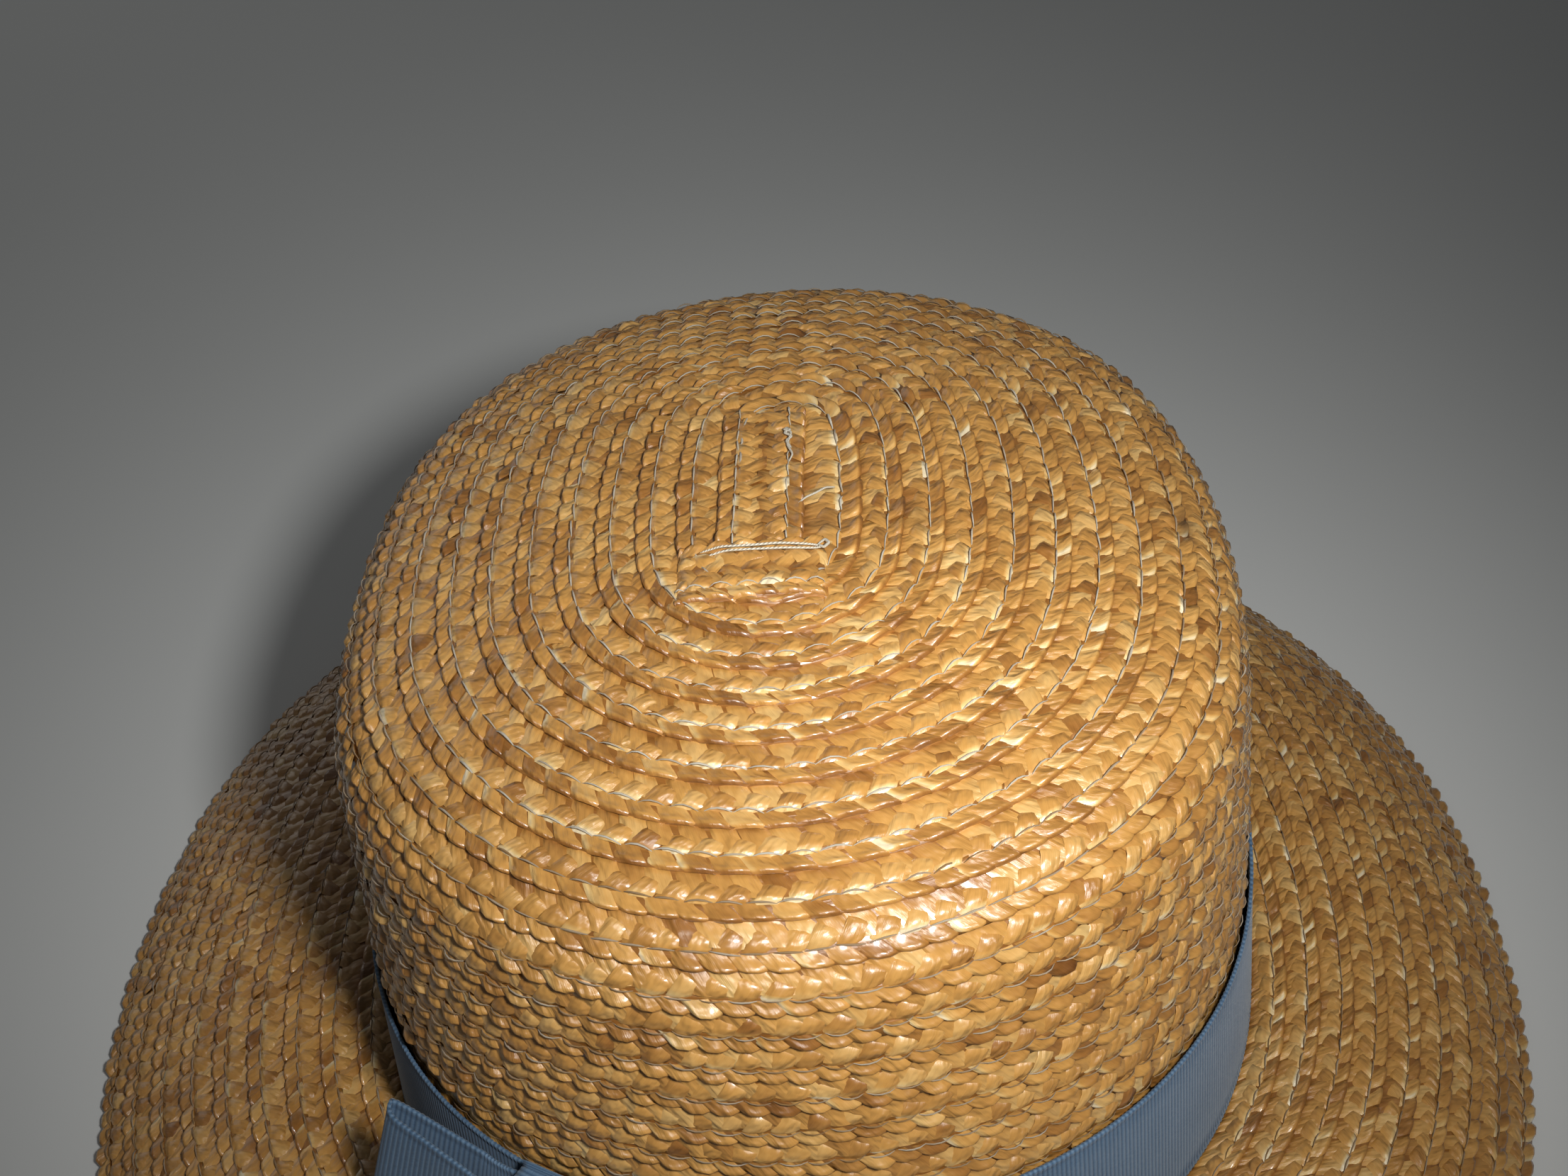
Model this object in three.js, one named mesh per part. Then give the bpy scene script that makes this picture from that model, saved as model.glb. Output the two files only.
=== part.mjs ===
// A straw hat with an oval crown, a drooping brim, a ribbon band and a flat ribbon bow.
// Millimetres, +Z up. +Y points to the hat's far side, +X to the right. The rim is level at z = 0.
import * as THREE from 'three';

// Braid
const strawWall = 1.6;        // solid straw under the braid's steps
const braidPitch = 7.2;       // from one row to the next
const braidStep = 0.9;        // how far a row's outer edge stands over the next row
const stepRun = 0.4;          // length of the step's face
const gap = 0.3;              // between pieces that lie on each other

// Crown
const tipRadius = 69;         // from the start strip to where the corner begins
const stripHalf = 16.9;       // half the braid's straight start strip, which makes the plan oval
const stripBlend = 3;         // how squarely the plan turns round the strip's ends
const crownHeight = 105.8;    // foot to the middle of the tip
const tipFall = 12.2;         // the tip's middle above its corner
const cornerRadius = 18.3;
const wallLean = 2.6;         // degrees, the side wall narrows upwards
const firstRow = 7.9;         // outer edge of the first row round the strip

// Brim
const brimReach = 57.5;       // from the ledge under the band to the rim, level
const brimDrop = 17.2;        // from the crown's foot down to the rim
const brimShiftX = -3.2;      // the rim's oval lies a little off the crown's
const brimShiftY = 3.6;
const brimStart = -12;        // degrees below level where the brim leaves the ledge
const brimEnd = 41;           // degrees below level at the rim
const brimRows = 9;
const rimHeight = 1;          // upright edge of the rim
const rimFlat = 2;            // width of the flat that the rim rests on
const rimInset = 0.3;
const leanLeft = 1.8;         // degrees, the crown leans to the left over the level rim
const leanNear = 1.4;         // and towards the near side

// Ribbon
const bandHeight = 31.8;
const ribbonThick = 1;
const bowAngle = 243;         // degrees round the plan, where the knot sits
const bowHeight = 28;         // the bow's ribbon is this wide
const bowFoot = 5.6;          // above the crown's foot, clear of the brim's swell
const loopLength = 37;        // from the knot's middle to a loop's end
const loopFold = 1.1;         // middle radius of the fold at a loop's end
const loopPuff = 2.2;         // how far the front layer stands off the back one
const loopRise = 13;          // degrees, a loop turns upwards beyond the knot
const riseFrom = 10;          // from the knot's middle to where it begins to turn
const riseRun = 8;            // length over which it turns
const loopSplay = 0.2;        // how far a loop's lower edge swings out at its end, as a share of the height
const loopGap = 0.8;          // between a loop's two layers inside the knot
const knotWidth = 15;
const knotRound = 0.8;

const segments = 56;
const straw = { color: 0xb07f3f, roughness: 0.45, metalness: 0 };
const grosgrain = { color: 0x3f5878, roughness: 0.75, metalness: 0 };

// Front layer of a loop: place as a share of the loop's length, stand-off as a share of the puff.
const loopFront = [
  { along: 0.93, off: 0.3 },
  { along: 0.75, off: 0.62 },
  { along: 0.55, off: 0.92 },
  { along: 0.43, off: 1 },
  { along: 0.32, off: 0.5 },
];

const degrees = THREE.MathUtils.degToRad;
const lean = degrees(wallLean);
const tipSlope = Math.atan(2 * tipFall / tipRadius);
const cornerLength = cornerRadius * (Math.PI / 2 - lean - tipSlope);
const cornerAxis = new THREE.Vector2(
  tipRadius - cornerRadius * Math.sin(tipSlope),
  crownHeight - tipFall - cornerRadius * Math.cos(tipSlope),
);
const wallTop = new THREE.Vector2(Math.cos(lean), Math.sin(lean)).multiplyScalar(cornerRadius).add(cornerAxis);
const wallLength = wallTop.y / Math.cos(lean);
const crownLength = tipRadius + cornerLength + wallLength;
const footRadius = wallTop.x + wallTop.y * Math.tan(lean);
const bandInside = braidStep + gap;
const ledgeRadius = footRadius + bandInside + ribbonThick + gap;
const rimRadius = ledgeRadius + brimReach;

// Oval plan: circles round a short straight strip.
function planPoint(angle, radius) {
  const along = stripHalf * Math.tanh(stripBlend * Math.sin(angle));
  return new THREE.Vector2(radius * Math.cos(angle), radius * Math.sin(angle) + along);
}

// Crown's section at a length from the middle of the tip, moved out by lift.
function crownPoint(length, lift) {
  if (length <= tipRadius) {
    const share = length / tipRadius;
    const slope = Math.atan(2 * tipFall * share / tipRadius);
    const height = crownHeight - tipFall * share * share;
    return new THREE.Vector2(length + lift * Math.sin(slope), height + lift * Math.cos(slope));
  }
  const turned = Math.min((length - tipRadius) / cornerRadius, cornerLength / cornerRadius) + tipSlope;
  const out = new THREE.Vector2(Math.sin(turned), Math.cos(turned));
  const down = Math.max(length - tipRadius - cornerLength, 0);
  const wall = new THREE.Vector2(Math.sin(lean), -Math.cos(lean)).multiplyScalar(down);
  return out.multiplyScalar(cornerRadius + lift).add(cornerAxis).add(wall);
}

// Point level with the crown's foot, off the wall by lift.
function footPoint(lift) {
  return new THREE.Vector2(footRadius + lift / Math.cos(lean), 0);
}

// Turns a section round the plan, and lets place bend each point.
function ovalSolid(section, place) {
  const geometry = new THREE.LatheGeometry(section, segments);
  const position = geometry.attributes.position;
  for (let turn = 0; turn <= segments; turn++) {
    const angle = 2 * Math.PI * (turn % segments) / segments;
    section.forEach((point, row) => {
      position.setXYZ(turn * section.length + row, ...place(angle, point.x, point.y));
    });
  }
  geometry.computeVertexNormals();
  return geometry;
}

function placeUpright(angle, radius, height) {
  const plan = planPoint(angle, radius);
  return [plan.x, plan.y, height];
}

// Outside of the crown, from the tip down, with a step at each row's outer edge.
function crownOutside() {
  const points = [crownPoint(0, 0)];
  let edge = firstRow;
  while (edge + braidPitch < crownLength) {
    points.push(crownPoint(edge, braidStep), crownPoint(edge + stepRun, 0));
    const middle = edge + (braidPitch + stepRun) / 2;
    const inCorner = edge + braidPitch > tipRadius && edge < tipRadius + cornerLength;
    if (inCorner) points.push(crownPoint(middle, braidStep / 2));
    edge += braidPitch;
  }
  points.push(crownPoint(edge, braidStep), crownPoint(edge + stepRun, 0), footPoint(0));
  return points;
}

function crownInside() {
  const lengths = [0, 0.4, 0.75].map((share) => share * tipRadius);
  for (let part = 0; part <= 4; part++) lengths.push(tipRadius + cornerLength * part / 4);
  return lengths.map((length) => crownPoint(length, -strawWall)).concat(footPoint(-strawWall));
}

function crown() {
  return ovalSolid([...crownInside(), ...crownOutside().reverse()], placeUpright);
}

// Brim's section: an arc of growing slope. Share 0 is the ledge, share 1 the rim.
function brimPoint(share, lift) {
  const start = degrees(brimStart);
  const end = degrees(brimEnd);
  const slope = start + (end - start) * share;
  const reach = (Math.sin(slope) - Math.sin(start)) / (Math.sin(end) - Math.sin(start));
  const fall = (Math.cos(slope) - Math.cos(start)) / (Math.cos(end) - Math.cos(start));
  return new THREE.Vector2(
    ledgeRadius + brimReach * reach + lift * Math.sin(slope),
    -gap - (brimDrop - rimHeight - gap) * fall + lift * Math.cos(slope),
  );
}

// The brim grows longer on one side, and bends from the crown's foot to the level rim.
function placeBrim(angle, radius, height) {
  const share = THREE.MathUtils.clamp((radius - ledgeRadius) / brimReach, 0, 1);
  const bend = THREE.MathUtils.clamp(share * brimReach / (brimReach - rimFlat - rimInset), 0, 1);
  const shift = brimShiftX * Math.cos(angle) + brimShiftY * Math.sin(angle);
  const plan = planPoint(angle, radius + share * shift);
  const fall = plan.x * Math.tan(degrees(leanLeft)) + plan.y * Math.tan(degrees(leanNear));
  return [plan.x, plan.y, height - bend * fall];
}

function brim() {
  const section = [new THREE.Vector2(footRadius - strawWall, -gap - strawWall)];
  for (let row = 0; row < brimRows; row++) section.push(brimPoint(row / brimRows, -strawWall));
  section.push(brimPoint(1 - rimFlat / brimReach, -strawWall));
  section.push(new THREE.Vector2(rimRadius - rimInset - rimFlat, -brimDrop));
  section.push(new THREE.Vector2(rimRadius - rimInset, -brimDrop));
  section.push(brimPoint(1, 0));
  for (let row = brimRows - 1; row > 0; row--) {
    const edge = row / brimRows;
    section.push(brimPoint(edge + stepRun / brimReach, 0), brimPoint(edge, braidStep));
  }
  section.push(brimPoint(0, 0));
  section.push(new THREE.Vector2(footRadius - strawWall, -gap));
  section.push(section[0].clone());
  return ovalSolid(section, placeBrim);
}

function band() {
  const inset = bandHeight * Math.tan(lean);
  const inside = footPoint(bandInside).x;
  const section = [[0, 0], [ribbonThick, 0], [ribbonThick - inset, bandHeight], [-inset, bandHeight], [0, 0]];
  return ovalSolid(section.map(([out, up]) => new THREE.Vector2(inside + out, up)), placeUpright);
}

// Middle line of a loop seen from above: x runs to the loop's end, y out from the band.
function loopLine(side) {
  const back = gap + ribbonThick + gap + ribbonThick / 2;
  const front = back + 2 * loopFold;
  const pinched = back + ribbonThick + loopGap;
  const points = [[gap / 2, back], [loopLength / 2, back], [loopLength - 2 * loopFold, back]];
  points.push([loopLength - ribbonThick / 2, back + loopFold]);
  for (const { along, off } of loopFront) points.push([along * loopLength, front + off * loopPuff]);
  points.push([knotWidth / 2 + ribbonThick, pinched], [knotWidth / 4, pinched], [gap / 2, pinched]);
  return new THREE.SplineCurve(points.map(([x, y]) => new THREE.Vector2(side * x, y)));
}

// Place on a loop: splayed out at its lower edge, and turned upwards beyond the knot.
function placeLoop(side, x, y, z) {
  const along = Math.max(side * x - knotWidth / 2, 0) / (loopLength - knotWidth / 2);
  const out = y + loopSplay * along * (bowHeight - z);
  const beyond = side * x - riseFrom;
  if (beyond <= 0) return [x, out, z];
  const turn = degrees(loopRise) * Math.min(beyond / riseRun, 1);
  const up = z - bowHeight / 2;
  return [
    side * (riseFrom + beyond * Math.cos(turn) - up * Math.sin(turn)),
    out,
    bowHeight / 2 + up * Math.cos(turn) + beyond * Math.sin(turn),
  ];
}

// A strip of ribbon on edge along the loop's line.
function loopSolid(side) {
  const line = loopLine(side);
  const steps = 40;
  const places = [];
  const faces = [0, 3, 2, 0, 2, 1];
  for (let step = 0; step <= steps; step++) {
    const point = line.getPointAt(step / steps);
    const tangent = line.getTangentAt(step / steps);
    for (const [share, z] of [[0.5, 0], [0.5, bowHeight], [-0.5, bowHeight], [-0.5, 0]]) {
      const off = share * ribbonThick;
      places.push(...placeLoop(side, point.x - tangent.y * off, point.y + tangent.x * off, z));
    }
    if (step === steps) continue;
    for (let edge = 0; edge < 4; edge++) {
      const here = 4 * step + edge;
      const next = 4 * step + (edge + 1) % 4;
      faces.push(here, next, next + 4, here, next + 4, here + 4);
    }
  }
  const last = 4 * steps;
  faces.push(last, last + 1, last + 2, last, last + 2, last + 3);
  const geometry = new THREE.BufferGeometry();
  geometry.setAttribute('position', new THREE.Float32BufferAttribute(places, 3));
  geometry.setIndex(faces);
  geometry.computeVertexNormals();
  return geometry;
}

// The knot is a sleeve of ribbon round the middle of the bow.
function knotSolid() {
  const inside = gap + ribbonThick;
  const depth = gap + ribbonThick + loopGap + ribbonThick + gap;
  const outer = new THREE.Shape();
  const low = -gap - ribbonThick;
  const high = bowHeight + gap + ribbonThick;
  const far = inside + depth + ribbonThick;
  outer.moveTo(gap, low + knotRound);
  outer.quadraticCurveTo(gap, low, gap + knotRound, low);
  outer.lineTo(far - knotRound, low);
  outer.quadraticCurveTo(far, low, far, low + knotRound);
  outer.lineTo(far, high - knotRound);
  outer.quadraticCurveTo(far, high, far - knotRound, high);
  outer.lineTo(gap + knotRound, high);
  outer.quadraticCurveTo(gap, high, gap, high - knotRound);
  const hole = new THREE.Path();
  hole.moveTo(inside, low + ribbonThick);
  hole.lineTo(inside, high - ribbonThick);
  hole.lineTo(inside + depth, high - ribbonThick);
  hole.lineTo(inside + depth, low + ribbonThick);
  outer.holes.push(hole);
  const settings = { depth: knotWidth, bevelEnabled: false, steps: 1, curveSegments: 3 };
  const geometry = new THREE.ExtrudeGeometry(outer, settings);
  const turned = new THREE.Matrix4().makeBasis(
    new THREE.Vector3(0, 1, 0),
    new THREE.Vector3(0, 0, 1),
    new THREE.Vector3(1, 0, 0),
  );
  return geometry.applyMatrix4(turned).translate(-knotWidth / 2, 0, 0);
}

function named(name, geometry, look) {
  const mesh = new THREE.Mesh(geometry, new THREE.MeshStandardMaterial(look));
  mesh.name = name;
  return mesh;
}

// The bow lies flat against the band: x to its left end, y away from the band.
function bow() {
  const group = new THREE.Group();
  const radius = footPoint(bandInside + ribbonThick).x;
  const angle = degrees(bowAngle);
  const here = planPoint(angle, radius);
  const back = planPoint(angle - 0.01, radius).sub(here);
  const left = named('bow_left_loop', loopSolid(1), grosgrain);
  const right = named('bow_right_loop', loopSolid(-1), grosgrain);
  group.add(left, right, named('bow_knot', knotSolid(), grosgrain));
  group.position.set(here.x, here.y, bowFoot);
  group.rotation.set(lean, 0, Math.atan2(back.y, back.x), 'ZYX');
  return group;
}

const hat = new THREE.Group();
hat.add(named('crown', crown(), straw));
hat.add(named('brim', brim(), straw));
hat.add(named('band', band(), grosgrain));
hat.add(bow());

// The rim is level, so the crown leans over it.
const rimNormal = new THREE.Vector3(Math.tan(degrees(leanLeft)), Math.tan(degrees(leanNear)), 1).normalize();
hat.quaternion.setFromUnitVectors(rimNormal, new THREE.Vector3(0, 0, 1));

const group = new THREE.Group();
group.add(hat);
const box = new THREE.Box3().setFromObject(group, true);
const centre = box.getCenter(new THREE.Vector3());
group.position.set(-centre.x, -centre.y, -box.min.z);

export default group;
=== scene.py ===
import bpy, bmesh, math
import numpy as np
from mathutils import Matrix, Vector


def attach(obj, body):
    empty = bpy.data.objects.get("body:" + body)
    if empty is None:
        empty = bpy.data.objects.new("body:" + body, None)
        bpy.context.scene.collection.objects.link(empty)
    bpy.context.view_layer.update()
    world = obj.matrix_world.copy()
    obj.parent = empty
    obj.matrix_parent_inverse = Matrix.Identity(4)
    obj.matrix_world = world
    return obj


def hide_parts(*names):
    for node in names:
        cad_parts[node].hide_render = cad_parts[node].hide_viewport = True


# A hat of sewn straw braid with an oval crown, a drooping brim, a ribbon band and a flat bow.
# Shapes are worked out in millimetres on the crown's foot; toRow carries them to the frame's metres.

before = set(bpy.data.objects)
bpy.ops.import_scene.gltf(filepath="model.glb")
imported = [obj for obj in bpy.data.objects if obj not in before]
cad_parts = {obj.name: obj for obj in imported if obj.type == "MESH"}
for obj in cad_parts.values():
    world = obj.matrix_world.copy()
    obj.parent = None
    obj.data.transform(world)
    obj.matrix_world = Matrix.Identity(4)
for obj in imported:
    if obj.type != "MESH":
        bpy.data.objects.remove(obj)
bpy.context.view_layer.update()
rng = np.random.default_rng(23)
print("frame loaded")

hat = {
    "tipRadius": 69, "stripHalf": 16.9, "stripBlend": 3, "crownHeight": 105.8, "tipFall": 12.2,
    "cornerRadius": 18.3, "wallLean": 2.6, "brimReach": 57.5, "brimDrop": 17.2, "brimStart": -12,
    "brimEnd": 41, "brimShiftX": -3.2, "brimShiftY": 3.6, "rimHeight": 1, "rimInset": 2.3,
    "leanLeft": 1.8, "leanNear": 1.4, "wall": 1.6, "step": 0.9, "gap": 0.3, "ribbon": 1,
}
lean = math.radians(hat["wallLean"])
tipSlope = math.atan(2 * hat["tipFall"] / hat["tipRadius"])
cornerLength = hat["cornerRadius"] * (math.pi / 2 - lean - tipSlope)
cornerOut = hat["tipRadius"] - hat["cornerRadius"] * math.sin(tipSlope)
cornerUp = hat["crownHeight"] - hat["tipFall"] - hat["cornerRadius"] * math.cos(tipSlope)
wallTop = cornerUp + hat["cornerRadius"] * math.sin(lean)
wallLength = wallTop / math.cos(lean)
crownLength = hat["tipRadius"] + cornerLength + wallLength
footRadius = cornerOut + hat["cornerRadius"] * math.cos(lean) + wallTop * math.tan(lean)
bandInside = hat["step"] + hat["gap"]
ledgeRadius = footRadius + bandInside + hat["ribbon"] + hat["gap"]
tilt = (math.tan(math.radians(hat["leanLeft"])), math.tan(math.radians(hat["leanNear"])))


def planPoint(angle, radius):  # oval plan: circles round a short straight strip
    along = hat["stripHalf"] * np.tanh(hat["stripBlend"] * np.sin(angle))
    return radius * np.cos(angle), radius * np.sin(angle) + along


def crownSection(length, lift):  # out and up, at a length from the tip's middle
    share = np.minimum(length, hat["tipRadius"]) / hat["tipRadius"]
    slope = np.arctan(2 * hat["tipFall"] * share / hat["tipRadius"])
    tipOut = length + lift * np.sin(slope)
    tipUp = hat["crownHeight"] - hat["tipFall"] * share * share + lift * np.cos(slope)
    turned = np.clip((length - hat["tipRadius"]), 0, cornerLength) / hat["cornerRadius"] + tipSlope
    down = np.maximum(length - hat["tipRadius"] - cornerLength, 0)
    sideOut = cornerOut + (hat["cornerRadius"] + lift) * np.sin(turned) + math.sin(lean) * down
    sideUp = cornerUp + (hat["cornerRadius"] + lift) * np.cos(turned) - math.cos(lean) * down
    onTip = length <= hat["tipRadius"]
    return np.where(onTip, tipOut, sideOut), np.where(onTip, tipUp, sideUp)


def onCrown(length, angle, lift):
    out, up = crownSection(length, lift)
    x, y = planPoint(angle, out)
    return np.stack([x, y, up], -1)


def onBrim(share, angle, lift):  # share 0 is the ledge under the band, 1 the rim
    start, end = math.radians(hat["brimStart"]), math.radians(hat["brimEnd"])
    slope = start + (end - start) * share
    reach = (np.sin(slope) - math.sin(start)) / (math.sin(end) - math.sin(start))
    fall = (np.cos(slope) - math.cos(start)) / (math.cos(end) - math.cos(start))
    out = ledgeRadius + hat["brimReach"] * reach + lift * np.sin(slope)
    up = -hat["gap"] - (hat["brimDrop"] - hat["rimHeight"] - hat["gap"]) * fall + lift * np.cos(slope)
    part = np.clip((out - ledgeRadius) / hat["brimReach"], 0, 1)
    bend = np.clip(part * hat["brimReach"] / (hat["brimReach"] - hat["rimInset"]), 0, 1)
    shift = hat["brimShiftX"] * np.cos(angle) + hat["brimShiftY"] * np.sin(angle)
    x, y = planPoint(angle, out + part * shift)
    return np.stack([x, y, up - bend * (x * tilt[0] + y * tilt[1])], -1)


rimSides = 56
toLevel = np.array(Vector((*tilt, 1)).rotation_difference(Vector((0, 0, 1))).to_matrix())
rimAngles = np.arange(rimSides) * 2 * math.pi / rimSides
rimRing = onBrim(np.ones(rimSides), rimAngles, np.zeros(rimSides)) @ toLevel.T
rimMiddle = (rimRing.min(0) + rimRing.max(0)) / 2
toOrigin = np.array([-rimMiddle[0], -rimMiddle[1], hat["brimDrop"] / math.hypot(*tilt, 1)])


def toRow(places):  # from millimetres on the crown's foot to the frame's metres
    return (np.asarray(places) @ toLevel.T + toOrigin) / 1000


camera = {
    "place": (24.0, -301.4, 317.4), "yaw": -4.67, "pitch": -37.89, "roll": -5.86, "lens": 47.77,
    "sensor": 36, "nearest": 0.01,
}


def addCamera():
    yaw, pitch, roll = (math.radians(camera[key]) for key in ("yaw", "pitch", "roll"))
    forward = Vector((math.sin(yaw) * math.cos(pitch), math.cos(yaw) * math.cos(pitch), math.sin(pitch)))
    level = Vector((math.cos(yaw), -math.sin(yaw), 0))
    rise = level.cross(forward)
    right = level * math.cos(roll) + rise * math.sin(roll)
    up = rise * math.cos(roll) - level * math.sin(roll)
    turn = Matrix(toLevel.tolist()) @ Matrix((right, up, -forward)).transposed()
    data = bpy.data.cameras.new("camera")
    data.sensor_width, data.lens, data.clip_start = camera["sensor"], camera["lens"], camera["nearest"]
    holder = bpy.data.objects.new("camera", data)
    holder.matrix_world = Matrix.Translation(toRow(camera["place"])) @ turn.to_4x4()
    bpy.context.scene.collection.objects.link(holder)
    bpy.context.scene.camera = holder
    return holder


def addLamp(name, place, aim, size, power, colour, spread=180):
    data = bpy.data.lights.new(name, "AREA")
    data.shape, data.size, data.energy, data.color = "DISK", size, power, colour
    data.spread = math.radians(spread)
    lamp = bpy.data.objects.new(name, data)
    turn = (Vector(aim) - Vector(place)).to_track_quat("-Z", "Y")
    lamp.matrix_world = Matrix.Translation(place) @ turn.to_matrix().to_4x4()
    bpy.context.scene.collection.objects.link(lamp)


class Flow:  # wraps a shader socket, so that sums of values add Math nodes
    def __init__(self, tree, socket=None):
        self.tree, self.socket = tree, socket

    def add(self, kind, settings, sockets, out=0):
        node = self.tree.nodes.new(kind)
        for name, value in settings.items():
            if name != "stops":
                setattr(node, name, value)
                continue
            while len(node.color_ramp.elements) < len(value):
                node.color_ramp.elements.new(0.5)
            for element, (position, colour) in zip(node.color_ramp.elements, value):
                element.position, element.color = position, (*colour, 1)
        for name, value in sockets.items():
            if isinstance(value, Flow):
                self.tree.links.new(value.socket, node.inputs[name])
            else:
                node.inputs[name].default_value = value
        return Flow(self.tree, node.outputs[out])

    def sum(self, operation, *values):
        return self.add("ShaderNodeMath", {"operation": operation}, dict(enumerate(values)))

    def __add__(self, other):
        return self.sum("ADD", self, other)

    def __sub__(self, other):
        return self.sum("SUBTRACT", self, other)

    def __rsub__(self, other):
        return self.sum("SUBTRACT", other, self)

    def __mul__(self, other):
        return self.sum("MULTIPLY", self, other)

    __radd__, __rmul__ = __add__, __mul__

    def mix(self, first, second):  # this value is the share of the second colour
        return self.add("ShaderNodeMix", {"data_type": "RGBA"}, {0: self, 6: first, 7: second}, 2)

    def noise(self, place, scale, detail, roughness=0.5):  # noise on a flat map that is stretched first
        spot = self.add("ShaderNodeVectorMath", {"operation": "MULTIPLY"}, {0: place, 1: (*scale, 1)})
        sockets = {"Vector": spot, "Scale": 1, "Detail": detail, "Roughness": roughness}
        return self.add("ShaderNodeTexNoise", {"noise_dimensions": "2D"}, sockets)


def newMaterial(name, plain):  # plain: values that are the same all over
    material = bpy.data.materials.new(name)
    material.use_nodes = True
    surface = material.node_tree.nodes["Principled BSDF"]
    for key, value in plain.items():
        surface.inputs[key].default_value = value
    return material, Flow(material.node_tree), surface


def wire(flow, surface, sockets):
    for name, value in sockets.items():
        flow.tree.links.new(value.socket, surface.inputs[name])


strawLook = {
    "dark": (0.17, 0.060, 0.010), "brown": (0.40, 0.168, 0.034), "golden": (0.74, 0.385, 0.096),
    "pale": (0.95, 0.65, 0.26), "glint": (1.0, 0.86, 0.58), "worn": (0.075, 0.03, 0.012),
    "fibre": 0.15, "fibreScale": (6.5, 0.16), "fibreBump": 0.00014, "fibreStrength": 0.55,
    "cloud": 0.32, "cloudScale": (0.25, 0.16), "dent": 0.0006, "dentScale": (0.55, 0.34),
    "roughness": 0.23, "dullFibre": 0.2, "dullWear": 0.15, "coat": 1, "coatRoughness": 0.19, "specular": 1,
}


def strawMaterial(name, shade):  # reads the piece's own map: across and along each straw, in millimetres
    look = strawLook
    plain = {
        "Coat Weight": look["coat"], "Coat Roughness": look["coatRoughness"],
        "Specular IOR Level": look["specular"],
    }
    material, flow, surface = newMaterial(name, plain)
    straw = flow.add("ShaderNodeUVMap", {"uv_map": "straw"}, {})
    tint = flow.add("ShaderNodeAttribute", {"attribute_name": "tint"}, {}, 2)
    wear = flow.add("ShaderNodeAttribute", {"attribute_name": "wear"}, {}, 2)
    fibre = flow.noise(straw, look["fibreScale"], 3, 0.6)
    cloud = flow.noise(straw, look["cloudScale"], 2)
    tone = tint + (fibre - 0.5) * look["fibre"] + (cloud - 0.5) * look["cloud"]
    # tints above 1 come only from the painted glints, which reach the glint colour
    steps = ((0, "dark"), (0.25, "brown"), (0.6, "golden"), (1, "pale"), (1.4, "glint"))
    brightest = steps[-1][0]
    # shade darkens every colour; below 1 it makes a painted-shade copy of the straw
    stops = [(at / brightest, tuple(c * shade for c in look[key])) for at, key in steps]
    colour = flow.add("ShaderNodeValToRGB", {"stops": stops}, {0: tone * (1 / brightest)})
    colour = wear.mix(colour, (*look["worn"], 1))
    gloss = look["roughness"] + (1 - fibre) * look["dullFibre"] + wear * look["dullWear"]
    waves = flow.noise(straw, look["dentScale"], 1)
    swell = flow.add("ShaderNodeBump", {}, {"Strength": 1, "Distance": look["dent"], "Height": waves})
    relief = flow.add("ShaderNodeBump", {}, {
        "Strength": look["fibreStrength"], "Distance": look["fibreBump"], "Height": fibre, "Normal": swell,
    })
    wire(flow, surface, {"Base Color": colour, "Roughness": gloss, "Normal": relief})
    return material


threadLook = {
    "paintedShadeBrown": (0.34, 0.19, 0.06), "shaded": (0.50, 0.45, 0.34), "lit": (0.93, 0.89, 0.77),
    "roughness": 0.38, "sheen": 0.2, "plyTurn": 0.7, "plyScale": 0.9, "plyBump": 0.0002,
}


def threadMaterial(name):  # two plies round each other, with painted light and shade between the plies; the tint says how white the thread shows, and lower tints are painted shade towards brown
    look = threadLook
    plain = {"Roughness": look["roughness"], "Sheen Weight": look["sheen"]}
    material, flow, surface = newMaterial(name, plain)
    straw = flow.add("ShaderNodeUVMap", {"uv_map": "straw"}, {})
    turned = {"Vector": straw, "Angle": look["plyTurn"]}
    turned = flow.add("ShaderNodeVectorRotate", {"rotation_type": "Z_AXIS"}, turned)
    wave = {"Vector": turned, "Scale": look["plyScale"], "Distortion": 0.6, "Detail": 1}
    ply = flow.add("ShaderNodeTexWave", {}, wave)
    shown = flow.add("ShaderNodeAttribute", {"attribute_name": "tint"}, {}, 2)
    white = ply.mix((*look["shaded"], 1), (*look["lit"], 1))
    colour = shown.mix((*look["paintedShadeBrown"], 1), white)
    relief = flow.add("ShaderNodeBump", {}, {"Strength": 0.6, "Distance": look["plyBump"], "Height": ply})
    wire(flow, surface, {"Base Color": colour, "Normal": relief})
    return material


ribbonLook = {
    "deep": (0.040, 0.080, 0.145), "slate": (0.10, 0.185, 0.305), "faded": (0.23, 0.35, 0.50),
    "rib": 0.45, "weave": 0.35, "fade": 0.3, "yarnScale": (1, 6.5), "fadeScale": 55, "weaveBump": 0.0002,
    "roughness": 0.62, "sheen": 0.25, "sheenRoughness": 0.4, "specular": 0.3,
}


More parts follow.
